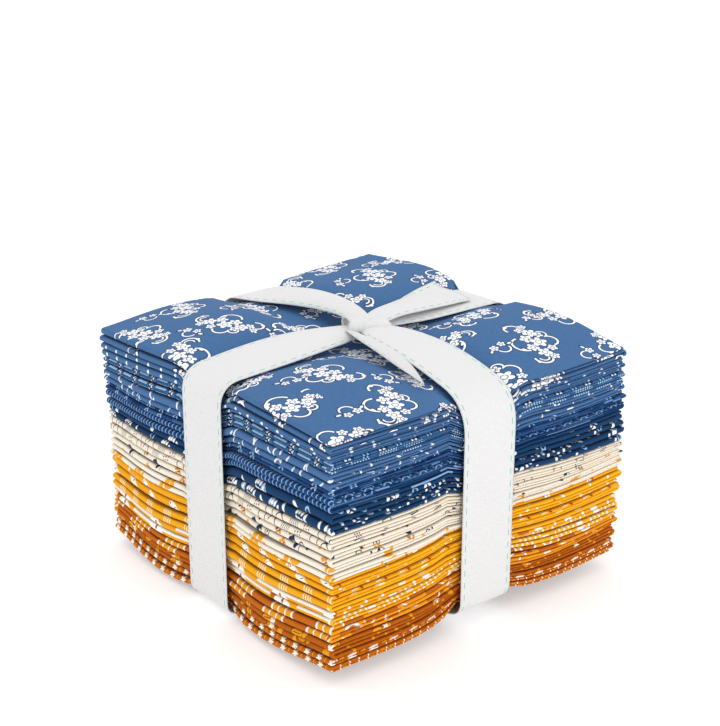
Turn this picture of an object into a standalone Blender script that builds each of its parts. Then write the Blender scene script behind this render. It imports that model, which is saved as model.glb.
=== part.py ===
"""A tied bundle of sixteen fat quarters.

Each fat quarter is folded in thirds across, then back and forth in four passes,
so one solid is the section of its passes. The tie is one length of twill ribbon
that goes round the bundle both ways, with a knot and two cut ends on top.
X runs along the rolled fold faces, Y from the front rolls to the back, +Z up.
"""

from collections import namedtuple

import bpy
import numpy as np

MM = 0.001
INCH = 0.0254

# A fat quarter is cut 18 in by 22 in. Thirds of 18 in give the width of the
# folded strip, and quarters of 22 in give the length of each pass.
HALF_X = 18 * INCH / 3 / 2 - 1.2 * MM
HALF_Y = 22 * INCH / 4 / 2 + 1.15 * MM
PASSES = 4
SHEET = 1.0 * MM          # three plies of quilting cotton pressed together
ROLL = 0.6 * MM           # how far a fold's round end stands past its passes

# The bundle is drawn in where the ribbon crosses it, and crowned between.
TOP = 90.4 * MM           # top of the cloth under the ribbon
CHANNEL = 2.7 * MM        # room below the cloth for the two bands of ribbon
CROWN = 8.0 * MM          # rise of the top between the bands
CORNER_DROOP = 2.0 * MM
CORNER_LIFT = 4.0 * MM

RIBBON_WIDTH = 1 * INCH
RIBBON = 1.0 * MM
GAP = 0.3 * MM

# at: mm from the middle. crown: share of CROWN. flat: 1 where the underside lies
# on the surface. corner: 1 at the edge. bulge: mm that the faces stand out there.
Station = namedtuple("Station", "at crown flat corner bulge")
STATIONS_X = (
    Station(at=13.0, crown=0.00, flat=0, corner=0, bulge=-0.8),
    Station(at=34.0, crown=1.00, flat=1, corner=0, bulge=1.0),
    Station(at=HALF_X / MM, crown=0.45, flat=1, corner=1, bulge=0.0),
)
STATIONS_Y = (
    Station(at=13.0, crown=0.00, flat=0, corner=0, bulge=-0.6),
    Station(at=32.0, crown=1.00, flat=1, corner=0, bulge=1.2),
    Station(at=HALF_Y / MM, crown=0.45, flat=1, corner=1, bulge=0.0),
)

# From the bottom up. The last four columns are mm past the usual edge.
Quarter = namedtuple("Quarter", "name colour front back left right")
QUARTERS = (
    Quarter("quarter_01_rust_sprig", "#C0580C", 0.8, 0.2, 0.8, 0.6),
    Quarter("quarter_02_gold_floral", "#B85A10", -0.4, 0.8, 0.0, 0.2),
    Quarter("quarter_03_rust_arc", "#C96A10", 0.2, -0.6, 0.4, -0.6),
    Quarter("quarter_04_mustard_bar", "#F0A41C", 0.5, 0.0, -0.6, 0.4),
    Quarter("quarter_05_mustard_tally", "#F2A81D", -0.7, 0.4, 0.2, 0.8),
    Quarter("quarter_06_mustard_bird", "#F2A81D", -0.2, -0.3, 0.5, 0.0),
    Quarter("quarter_07_cream_flower", "#F0E6D6", 0.4, 0.6, -0.4, 0.3),
    Quarter("quarter_08_cream_figure", "#F0E6D6", 0.0, -0.8, 0.1, -0.4),
    Quarter("quarter_09_cream_box", "#F0E6D6", 0.6, 0.3, 0.6, 0.2),
    Quarter("quarter_10_navy_leaf", "#123F70", 0.1, 0.0, -0.2, 0.6),
    Quarter("quarter_11_navy_tick", "#1C4A7C", 0.7, 0.5, 0.3, 0.0),
    Quarter("quarter_12_blue_ring", "#2F5F97", -0.8, -0.4, -0.7, -0.5),
    Quarter("quarter_13_denim_mark", "#4A74A8", 0.3, 0.1, 0.2, 0.5),
    Quarter("quarter_14_blue_dash", "#3E6DA2", -0.1, 0.6, 0.6, -0.2),
    Quarter("quarter_15_denim_dot", "#4A74A8", 0.6, -0.2, 0.0, 0.3),
    Quarter("quarter_16_denim_floral", "#4A74A8", 0.2, 0.4, 0.5, 0.7),
)
LAYERS = PASSES * len(QUARTERS)

# The two cut ends of the ribbon, from the knot out. Columns in mm: place in plan,
# height over TOP, half width, and how the width lies in plan.
End = namedtuple("End", "x y rise half side_x side_y")
NEAR_END = (
    End(x=6, y=-4, rise=6.0, half=4.0, side_x=0.30, side_y=0.95),
    End(x=24, y=-9, rise=8.0, half=7.0, side_x=0.30, side_y=0.95),
    End(x=42, y=-14, rise=7.6, half=7.0, side_x=0.30, side_y=0.95),
    End(x=60, y=-19, rise=7.4, half=1.0, side_x=0.30, side_y=0.95),
)
FAR_END = (
    End(x=5, y=0, rise=6.0, half=5.0, side_x=0.94, side_y=0.34),
    End(x=0, y=22, rise=8.6, half=10.0, side_x=0.94, side_y=0.34),
    End(x=-8, y=44, rise=8.6, half=11.0, side_x=0.94, side_y=0.34),
    End(x=-22, y=66, rise=8.0, half=1.0, side_x=0.94, side_y=0.34),
)
KNOT_CENTRE = (5 * MM, -2 * MM, TOP + 5.4 * MM)
KNOT_HALF = (13 * MM, 12 * MM, 4.7 * MM)


def mirrored(stations):
    """The stations from the negative edge to the positive one, with their sign."""
    return [(-1, s) for s in reversed(stations)] + [(1, s) for s in stations]


def material(name, colour, roughness):
    """A Principled material in an sRGB hex colour."""
    channels = [int(colour[i:i + 2], 16) / 255 for i in (1, 3, 5)]
    linear = [c / 12.92 if c <= 0.04045 else ((c + 0.055) / 1.055) ** 2.4 for c in channels]
    made = bpy.data.materials.new(name)
    made.use_nodes = True
    principled = made.node_tree.nodes["Principled BSDF"]
    principled.inputs["Base Color"].default_value = (*linear, 1.0)
    principled.inputs["Roughness"].default_value = roughness
    principled.inputs["Metallic"].default_value = 0.0
    made.diffuse_color = (*linear, 1.0)
    return made


def sheet_object(name, points, faces, thickness, collection):
    """An open surface made into a closed solid by Solidify, half to each side."""
    mesh = bpy.data.meshes.new(name)
    mesh.from_pydata([tuple(p) for p in points], [], faces)
    mesh.validate()
    made = bpy.data.objects.new(name, mesh)
    collection.objects.link(made)
    solidify = made.modifiers.new("thickness", "SOLIDIFY")
    solidify.thickness = thickness
    solidify.offset = 0.0
    solidify.use_even_offset = True
    return made


def fold_samples(quarter, station_x):
    """The folded strip's middle line at one station across it.

    It goes along the passes in turn, as (y, station in y, height in layers), with
    one more sample at the round end of each fold of the front face.
    """
    samples = []
    for index in range(PASSES):
        row = []
        for sign, station in mirrored(STATIONS_Y):
            y = sign * station.at * MM
            if station.corner:
                beyond = quarter.front if sign < 0 else quarter.back
                inset = SHEET / 2 + (ROLL if sign < 0 else 0)
                y += sign * ((beyond + station_x.bulge) * MM - inset)
            row.append((y, station, index))
        forward = index % 2 == 1
        samples += row if forward else row[::-1]
        if not forward:
            front_y, station, _ = row[0]
            samples.append((front_y - ROLL, station, index + 0.5))
    return samples


def cloth_height(station_x, station_y, layer):
    """Height of a layer's middle: the layers share the room from underside to top."""
    corner = station_x.corner * station_y.corner
    underside = CHANNEL * (1 - station_x.flat * station_y.flat) + CORNER_LIFT * corner
    top = TOP + CROWN * station_x.crown * station_y.crown - CORNER_DROOP * corner
    return underside + SHEET / 2 + (top - underside - SHEET) * layer / (LAYERS - 1)


def sheet_faces(columns, rows):
    """Triangles of a grid, split so that no diagonal ends on an outer corner.

    columns: the x of each column. rows: the y of each sample. The diagonals lie the
    same way in plan on every layer, so the layers stay parallel.
    """
    faces = []
    across = len(columns)
    for r in range(len(rows) - 1):
        for c in range(across - 1):
            a, b = r * across + c, r * across + c + 1
            d, e = a + across, b + across
            middle = (columns[c] + columns[c + 1]) * (rows[r] + rows[r + 1])
            rising = (rows[r + 1] > rows[r]) == (middle <= 0)
            faces += [(a, b, e), (a, e, d)] if rising else [(a, b, d), (b, e, d)]
    return faces


def build_quarter(index, quarter, collection):
    """One fat quarter: the folded strip at each station across, joined and thickened."""
    columns = []
    for sign, station in mirrored(STATIONS_X):
        samples = fold_samples(quarter, station)
        column = []
        for y, station_y, layer in samples:
            x = sign * station.at * MM
            if station.corner:
                beyond = quarter.left if sign < 0 else quarter.right
                x += sign * (beyond + station_y.bulge) * MM
            column.append((x, y, cloth_height(station, station_y, PASSES * index + layer)))
        columns.append(column)
    grid = np.array(columns).swapaxes(0, 1)
    middle_of_columns = grid[0, :, 0]
    middle_of_rows = grid[:, len(columns) // 2, 1]
    faces = sheet_faces(middle_of_columns, middle_of_rows)
    made = sheet_object(quarter.name, grid.reshape(-1, 3), faces, SHEET, collection)
    made.data.materials.append(material(quarter.name, quarter.colour, 0.85))


def strip(name, centres, sides, closed, collection):
    """A flat band: two edges along its centres, thickened."""
    centres, sides = np.array(centres), np.array(sides)
    points = np.stack([centres - sides, centres + sides], axis=1).reshape(-1, 3)
    count = len(centres)
    steps = range(count if closed else count - 1)
    faces = [(2 * i, 2 * i + 1, (2 * i + 3) % (2 * count), (2 * i + 2) % (2 * count)) for i in steps]
    return sheet_object(name, points, faces, RIBBON, collection)


def band_outline(reach, bottom, top, hump):
    """The middle line of a band round the bundle, as (along, height), with cut corners."""
    cut = 0.6 * MM
    under = [(-reach + cut, bottom), (reach - cut, bottom), (reach, bottom + cut)]
    over = [(reach, top - cut), (reach - cut, top)]
    rise = [(22 * MM, top), (15 * MM, top + hump), (-15 * MM, top + hump), (-22 * MM, top)]
    back = [(-reach + cut, top), (-reach, top - cut), (-reach, bottom + cut)]
    return under + over + (rise if hump else []) + back


def build_ribbon(collection, helpers):
    """The tie: a band round each way, a knot and two cut ends, joined into one."""
    half = RIBBON_WIDTH / 2
    outermost = 0.8 * MM + GAP + RIBBON / 2
    reach_y = HALF_Y + STATIONS_X[0].bulge * MM + outermost
    reach_x = HALF_X + STATIONS_Y[0].bulge * MM + outermost
    top = TOP + GAP + RIBBON / 2
    lower = RIBBON / 2
    outline = band_outline(reach_y, lower + RIBBON + GAP, top, 0)
    centres = [(0, y, z) for y, z in outline]
    ribbon = strip("ribbon", centres, [(half, 0, 0)] * len(centres), True, collection)
    outline = band_outline(reach_x, lower, top, RIBBON + GAP)
    centres = [(x, 0, z) for x, z in outline]
    pieces = [strip("band", centres, [(0, -half, 0)] * len(centres), True, helpers)]
    bpy.ops.mesh.primitive_uv_sphere_add(segments=10, ring_count=6, radius=1, location=KNOT_CENTRE)
    knot = bpy.context.object
    knot.scale = KNOT_HALF
    bpy.ops.object.transform_apply(location=False, scale=True)
    for collection_used in knot.users_collection:
        collection_used.objects.unlink(knot)
    helpers.objects.link(knot)
    pieces.append(knot)
    for name, rows in (("near_end", NEAR_END), ("far_end", FAR_END)):
        centres = [(row.x * MM, row.y * MM, TOP + row.rise * MM) for row in rows]
        sides = [(row.side_x * row.half * MM, row.side_y * row.half * MM, 0) for row in rows]
        pieces.append(strip(name, centres, sides, False, helpers))
    for piece in pieces:
        piece.hide_render = True
        piece.display_type = "WIRE"
        union = ribbon.modifiers.new(piece.name, "BOOLEAN")
        union.operation = "UNION"
        union.solver = "EXACT"
        union.object = piece
    ribbon.data.materials.append(material("ribbon", "#F2F2F0", 0.7))


def main():
    for old in list(bpy.data.objects):
        bpy.data.objects.remove(old, do_unlink=True)
    scene = bpy.context.scene
    bundle = bpy.data.collections.new("fat_quarter_bundle")
    helpers = bpy.data.collections.new("ribbon_helpers")
    scene.collection.children.link(bundle)
    scene.collection.children.link(helpers)
    for index, quarter in enumerate(QUARTERS):
        build_quarter(index, quarter, bundle)
    build_ribbon(bundle, helpers)


main()
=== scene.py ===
"""The looks of a tied bundle of sixteen fat quarters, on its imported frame.

Each fat quarter is one sheet of quilting cotton. It is folded in thirds across, then
back and forth in four passes. Its print lies on the flat cloth, so it runs on round the
front folds. The narrow creases on the right face get marks small enough to show there.
The tie is white twill ribbon with a teal running stitch.
X runs along the rolled front folds, Y from front to back, +Z up, in metres.
"""

import math
from collections import namedtuple

import bpy
import numpy as np
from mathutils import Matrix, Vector


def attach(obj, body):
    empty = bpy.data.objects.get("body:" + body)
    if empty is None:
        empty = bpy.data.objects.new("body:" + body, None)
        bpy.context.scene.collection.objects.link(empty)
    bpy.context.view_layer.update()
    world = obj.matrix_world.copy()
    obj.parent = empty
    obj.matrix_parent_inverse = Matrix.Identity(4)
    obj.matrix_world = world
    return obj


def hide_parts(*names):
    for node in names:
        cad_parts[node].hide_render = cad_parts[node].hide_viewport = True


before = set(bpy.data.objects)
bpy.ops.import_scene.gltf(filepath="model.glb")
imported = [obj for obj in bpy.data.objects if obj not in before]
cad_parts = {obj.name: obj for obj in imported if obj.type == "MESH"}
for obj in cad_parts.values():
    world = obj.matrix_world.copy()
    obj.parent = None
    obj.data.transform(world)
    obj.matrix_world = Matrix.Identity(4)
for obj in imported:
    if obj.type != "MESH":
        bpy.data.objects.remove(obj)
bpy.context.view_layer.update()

MM = 0.001
INCH = 25.4                # mm, as all the sizes below are until the mesh is made
CUT_WIDTH = 18 * INCH      # a fat quarter's cut size
CUT_LENGTH = 22 * INCH
HALF_X = 75.0              # half of the folded size, to the middle of the folds
HALF_Y = 70.4
PASSES = 4
SHEET = 0.17               # thickness of pressed quilting cotton
PLY = 0.30                 # a ply's distance from the middle of its pass, in levels
LEVEL = 1.42               # mean thickness of one pass

RIBBON_HALF = INCH / 2
RIBBON_SHEET = 0.35
RIBBON_LINE = 1.0          # each band runs this far off the bundle's middle line


# ---------------------------------------------------------------- heights and outline

# Height in mm of the cloth's top and underside over the plan. A row is one place from
# front to back, and its columns run from the left face to the right face.
Row = namedtuple("Row", "y left left_lobe middle right_lobe right")
PLAN_X = (-HALF_X, -40.0, 0.0, 44.0, HALF_X)
TOP_ROWS = (
    Row(-HALF_Y, 94.6, 96.2, 94.6, 95.2, 92.2),
    Row(-38.0, 97.8, 101.4, 94.8, 98.0, 93.4),
    Row(0.0, 97.4, 97.2, 93.8, 94.4, 92.4),
    Row(38.0, 100.0, 103.6, 97.8, 101.0, 94.2),
    Row(HALF_Y, 102.6, 104.6, 100.8, 101.0, 95.6),
)
UNDER_ROWS = (
    Row(-HALF_Y, 5.4, 1.6, 2.6, 2.0, 5.6),
    Row(-38.0, 2.4, 0.5, 1.6, 0.6, 6.2),
    Row(0.0, 3.4, 1.6, 1.4, 2.6, 9.6),
    Row(38.0, 2.4, 0.5, 1.6, 0.6, 6.6),
    Row(HALF_Y, 4.6, 1.6, 2.6, 2.2, 7.2),
)

# Each quarter from the bottom up: its print, and the folded thickness in mm that it
# takes at three corners of the bundle.
Quarter = namedtuple("Quarter", "print left front right")
QUARTERS = (
    Quarter("rust_sprig", 5.6, 5.2, 5.2), Quarter("gold_floral", 4.8, 6.2, 5.5),
    Quarter("rust_arc", 3.6, 7.6, 5.6), Quarter("mustard_bar", 6.8, 5.6, 6.5),
    Quarter("mustard_tally", 6.2, 6.2, 6.0), Quarter("mustard_bird", 8.6, 5.2, 6.5),
    Quarter("cream_flower", 5.0, 5.8, 3.6), Quarter("cream_figure", 4.8, 6.4, 3.6),
    Quarter("cream_box", 7.0, 6.2, 3.8), Quarter("navy_leaf", 5.0, 8.0, 10.5),
    Quarter("navy_tick", 5.6, 5.4, 4.4), Quarter("blue_ring", 3.6, 3.6, 3.8),
    Quarter("denim_mark", 6.2, 6.6, 5.2), Quarter("blue_dash", 4.8, 3.8, 3.6),
    Quarter("denim_dot", 6.8, 3.6, 3.6), Quarter("denim_floral", 5.6, 4.6, 5.6),
)
LEVELS = PASSES * len(QUARTERS)


def smooth_step(x, low, high):
    """3t^2 - 2t^3, with t going from 0 at low to 1 at high."""
    t = np.clip((x - low) / (high - low), 0.0, 1.0)
    return t * t * (3 - 2 * t)


def curve_through(x, stations, heights):
    """The cubic Hermite curve through heights at the stations, with mean slopes.

    heights has one column per station, and either one row or one row per point.
    """
    stations = np.asarray(stations, float)
    heights = np.broadcast_to(np.asarray(heights, float), (len(x), len(stations)))
    slopes = np.gradient(heights, stations, axis=1)
    i = np.clip(np.searchsorted(stations, x) - 1, 0, len(stations) - 2)
    pick = np.arange(len(x))
    step = stations[i + 1] - stations[i]
    t = (x - stations[i]) / step
    rise = heights[pick, i + 1] - heights[pick, i]
    t2, t3 = t * t, t * t * t
    return (heights[pick, i] + (3 * t2 - 2 * t3) * rise
            + step * ((t3 - 2 * t2 + t) * slopes[pick, i] + (t3 - t2) * slopes[pick, i + 1]))


def beside_band(x):
    """x again, held near 0 under the ribbon, so that the cloth lies flat there."""
    return np.sign(x) * np.interp(np.abs(x), (0, 11, 14, 20, 40, 90), (0, 3, 11, 26, 42, 90))


def height_over(x, y, rows):
    """The height table as one smooth surface: curves along x, then a curve along y."""
    at_x = beside_band(np.clip(x, -HALF_X, HALF_X))
    at_y = beside_band(np.clip(y, -HALF_Y, HALF_Y))
    along = np.stack([curve_through(at_x, PLAN_X, row[1:]) for row in rows], axis=1)
    return curve_through(at_y, [row.y for row in rows], along)


def share_of_height(level, x, y):
    """How far up the bundle a level is, from 0 to 1: each corner stacks the quarters by
    its own thicknesses, and the plan mixes the four corners linearly."""
    a = np.clip(x / HALF_X / 2 + 0.5, 0, 1)
    b = np.clip(y / HALF_Y / 2 + 0.5, 0, 1)
    left = np.array([q.left for q in QUARTERS])
    front = np.array([q.front for q in QUARTERS])
    right = np.array([q.right for q in QUARTERS])
    corners = ((left, (1 - a) * (1 - b)), (front, a * (1 - b)),
               (right, a * b), ((left + right) / 2, (1 - a) * b))
    steps = PASSES * np.arange(len(QUARTERS) + 1)
    total = 0
    for thickness, weight in corners:
        stacked = np.concatenate([[0], np.cumsum(thickness)]) / thickness.sum()
        total = total + weight * np.interp(level + 0.5, steps, stacked)
    return total


def ripple(a, b, seed):
    """A smooth uneven field of about -1 to 1: five sine waves in seeded directions."""
    draw = np.random.default_rng(seed)
    total = 0
    for _ in range(5):
        angle, phase = draw.uniform(0, 2 * math.pi, 2)
        rate = draw.uniform(0.7, 1.4)
        total = total + np.sin(rate * (math.cos(angle) * a + math.sin(angle) * b) + phase)
    return total / 3.0


def drawn_in(along):
    """How far a face stands out at a place along it: in at the ribbon, out between."""
    near = np.abs(along)
    band = 1 - smooth_step(near, 11, 24)
    lobe = smooth_step(near, 14, 38) * (1 - 0.8 * smooth_step(near, 48, 74))
    return 1.5 * lobe - 1.0 * band


def settle(x, y, level, roll, middle):
    """Where a point of the neat stack goes in the tied bundle, in mm.

    x, y: its place in the neat stack. level: its height in passes. roll: the number of
    the fold that it belongs to. middle: the level of its pass's middle line.
    """
    to_front = smooth_step(-y, 30, HALF_Y)
    to_back = smooth_step(y, 30, HALF_Y)
    to_side = smooth_step(np.abs(x), 34, HALF_X)
    uneven = 0.55 * ripple(x / 26, roll * 2.3, 3) + 0.65 * np.sin(roll * 2.4 + 1.1)
    ragged = 0.35 * ripple(y / 24, middle * 1.9, 5) + 0.45 * np.sin(middle * 2.1)
    corner = 1 - 0.45 * to_side * np.maximum(to_front, to_back)
    out_y = (drawn_in(x) + uneven) * corner * (to_back - to_front)
    out_x = (drawn_in(y) + ragged * 1.1) * corner * to_side * np.sign(x)
    share = share_of_height(level, x, y)
    # Under the ribbon the topmost and lowest folds are pulled in, and the edge is rounded.
    under_x = 1 - smooth_step(np.abs(x - RIBBON_LINE), 11, 19)
    under_y = 1 - smooth_step(np.abs(y - RIBBON_LINE), 11, 19)
    bound = np.maximum(under_x * np.maximum(to_front, to_back), under_y * to_side)
    pulled = 2.6 * bound * smooth_step(np.abs(share - 0.5), 0.41, 0.5) ** 2
    out_y = out_y - pulled * (to_back - to_front)
    out_x = out_x - pulled * to_side * np.sign(x)
    # The left corner draws in below its top, and the far right corner stands out.
    out_x = out_x + 3.2 * (smooth_step(-x, 30, HALF_X) * smooth_step(-y, 5, 60)
                           * (1 - smooth_step(share, 0.5, 0.95)))
    belly = smooth_step(x, 20, HALF_X) * smooth_step(y, 20, HALF_Y)
    belly = belly * (0.55 + 1.8 * share * (1 - share))
    out_x, out_y = out_x + 1.8 * belly, out_y + 3.4 * belly
    edge = np.maximum(np.maximum(to_front, to_back), to_side)
    inner = np.minimum(1, 8.8 * share * (1 - share))
    wander = inner * (0.25 + 0.55 * edge) * ripple(x / 24 + share * 9, y / 24 - share * 31, 7)
    top = height_over(x, y, TOP_ROWS) + 0.35 * ripple(x / 11, y / 11, 11) * (1 - edge * 0.5)
    reach = np.maximum(smooth_step(np.abs(y), 52, 74), smooth_step(np.abs(x), 56, 78))
    top = top - 4.2 * reach ** 2 * bound
    under = height_over(x, y, UNDER_ROWS)
    z = under + (top - under) * share + wander
    return x + out_x, y + out_y, np.maximum(z, 0.12)


# ------------------------------------------------------------------- the folded sheet

def eased(start, stop, count):
    """count places from start to stop, closer together near both ends."""
    t = np.linspace(0, 1, count)
    eased_t = 0.55 * t + 0.45 * (1 - np.cos(math.pi * t)) / 2
    return start + (stop - start) * eased_t


def arc_lengths(first, second):
    """Distance along a line of points."""
    return np.concatenate([[0], np.cumsum(np.hypot(np.diff(first), np.diff(second)))])


def thirds_profile(count):
    """The cloth folded in thirds, seen along Y: places across, and levels off the middle.

    It starts at the cut edge that is tucked inside on the right, turns at the left
    crease, runs below to the right crease, wraps it, and ends at the left above.
    """
    tucked = eased(HALF_X - 2.2, -HALF_X + 0.5, count)
    below = eased(-HALF_X, HALF_X, count)
    above = eased(HALF_X, -HALF_X + 1.8, count)
    small = np.linspace(math.pi / 2, 3 * math.pi / 2, 7)[1:-1]
    large = np.linspace(-math.pi / 2, math.pi / 2, 10)[1:-1]
    across = np.concatenate([tucked, -HALF_X + 0.3 * np.cos(small) + 0.15, below,
                             HALF_X + 0.62 * np.cos(large), above])
    off = np.concatenate([0 * tucked, PLY / 2 * (np.sin(small) - 1), 0 * below - PLY,
                          PLY * np.sin(large), 0 * above + PLY])
    return across, off, arc_lengths(across, off * LEVEL)


def passes_profile(count, turn_count):
    """The four passes, seen along X: for each sample its place in Y, the level of its
    pass or turn, the middle level, the turn's angle (0 on the passes), and which fold
    it is at (0 on the passes)."""
    parts = []
    for index in range(PASSES):
        end = 1 if index % 2 else -1           # the pass runs to the back, or to the front
        near, far = -end * HALF_Y, end * HALF_Y
        if index == 0:
            near -= 1.2                        # the cut edges stop short of the folds
        if index == PASSES - 1:
            far -= 0.8
        y = eased(near, far, count)
        parts.append((y, 0 * y + index, 0 * y + index, 0 * y, 0 * y))
        if index < PASSES - 1:
            angle = np.linspace(-math.pi / 2, math.pi / 2, turn_count + 2)[1:-1]
            middle = index + 0.5 + 0.5 * np.sin(angle)
            same = 0 * angle
            parts.append((same + end * HALF_Y, same + index + 0.5, middle, angle, same + end))
    return np.concatenate([np.array(part) for part in parts], axis=1)


def folded_sheet(quarter_index, count_across, count_along, turn_count):
    """Points of one folded quarter on a grid, its UV on the flat cloth, and how open
    each point is to the light: 1 on the outside, falling to 0 some 1.5 mm inside.
    The material paints shade into the cloth's colour from this.

    A point is the middle line of the passes plus the profile's offset along the line's
    normal: level +off on passes that run to the front, -off on the others, and round
    a turn the circle of radius 0.5 -off or +off about the turn's middle.
    """
    across, off, u = thirds_profile(count_across)
    passes = passes_profile(count_along, turn_count)
    v = arc_lengths(passes[0], passes[2] * LEVEL * 1.5)
    x, off = np.tile(across, (len(v), 1)), np.tile(off, (len(v), 1))
    y, centre, middle, angle, side = np.repeat(passes[..., None], len(across), axis=2)
    radius = 0.5 + side * off
    turning = side != 0
    flipped = np.where(centre.astype(int) % 2 == 1, -1, 1)
    level = np.where(turning, centre + radius * np.sin(angle), centre + flipped * off)
    turned_y = y + side * radius * LEVEL * 1.05 * np.cos(angle)
    y = np.where(turning, turned_y, y)
    at_front = 2 * np.floor(middle.clip(0, 3) / 2)
    at_back = 2 * np.floor((middle + 1) / 2) + 1
    at_front = np.where(turning & (side < 0), centre - 0.5, at_front)
    at_back = np.where(turning & (side > 0), centre + 1.5, at_back)
    base = PASSES * quarter_index
    roll = np.where(y < 0, at_front, at_back) + base
    px, py, pz = settle(x.ravel(), y.ravel(), (level + base).ravel(),
                        roll.ravel(), (middle + base).ravel())
    points = np.stack([px, py, pz], axis=1)
    uv = np.stack(np.meshgrid(u / u[-1], v / v[-1]), axis=-1).reshape(-1, 2)
    # Painted shade: cloth more than 0.2 mm inside the bundle's faces is darkened in the material.
    depth = np.minimum(HALF_X + 0.6 - x, HALF_X + 0.3 + x)
    depth = np.minimum(HALF_Y + 1.2 - np.abs(y), depth)
    lit = 1 - smooth_step(depth, 0.2, 1.5)
    topmost = smooth_step(level + base, LEVELS - 1.15, LEVELS - 0.75)
    return points, uv, x.shape, np.maximum(lit, topmost).ravel()


def joined_grids(name, grids):
    """One mesh of quads over grids of points in mm, with a UV for each point. A grid is
    its points, its UV, and its rows and columns."""
    points = np.concatenate([grid[0] for grid in grids])
    uv = np.concatenate([grid[1] for grid in grids])
    quads, first = [], 0
    for _, _, (rows, columns) in grids:
        index = first + np.arange(rows * columns).reshape(rows, columns)
        quads.append(np.stack([index[:-1, :-1], index[:-1, 1:], index[1:, 1:], index[1:, :-1]],
                              axis=-1).reshape(-1, 4))
        first += rows * columns
    quads = np.concatenate(quads)
    mesh = bpy.data.meshes.new(name)
    mesh.vertices.add(len(points))
    mesh.vertices.foreach_set("co", (points * MM).astype(np.float32).ravel())
    mesh.loops.add(quads.size)
    mesh.loops.foreach_set("vertex_index", quads.ravel().astype(np.int32))
    mesh.polygons.add(len(quads))
    mesh.polygons.foreach_set("loop_start", np.arange(0, quads.size, 4, dtype=np.int32))
    mesh.polygons.foreach_set("use_smooth", np.ones(len(quads), bool))
    layer = mesh.uv_layers.new(name="cloth")
    layer.uv.foreach_set("vector", uv[quads.ravel()].astype(np.float32).ravel())
    mesh.update()
    mesh.validate()
    return mesh


def sheet_piece(name, mesh, thickness, material):
    """An object of the mesh, given its thickness half to each side."""
    piece = bpy.data.objects.new(name, mesh)
    bpy.context.scene.collection.objects.link(piece)
    solidify = piece.modifiers.new("thickness", "SOLIDIFY")
    solidify.thickness = thickness * MM
    solidify.offset = 0.0
    mesh.materials.append(material)
    return piece


# ------------------------------------------------------------------------ materials

def linear(colour):
    """An sRGB hex colour as linear RGBA."""
    channels = [int(colour[i:i + 2], 16) / 255 for i in (1, 3, 5)]
    return (*[c / 12.92 if c <= 0.04045 else ((c + 0.055) / 1.055) ** 2.4 for c in channels], 1.0)


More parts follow.
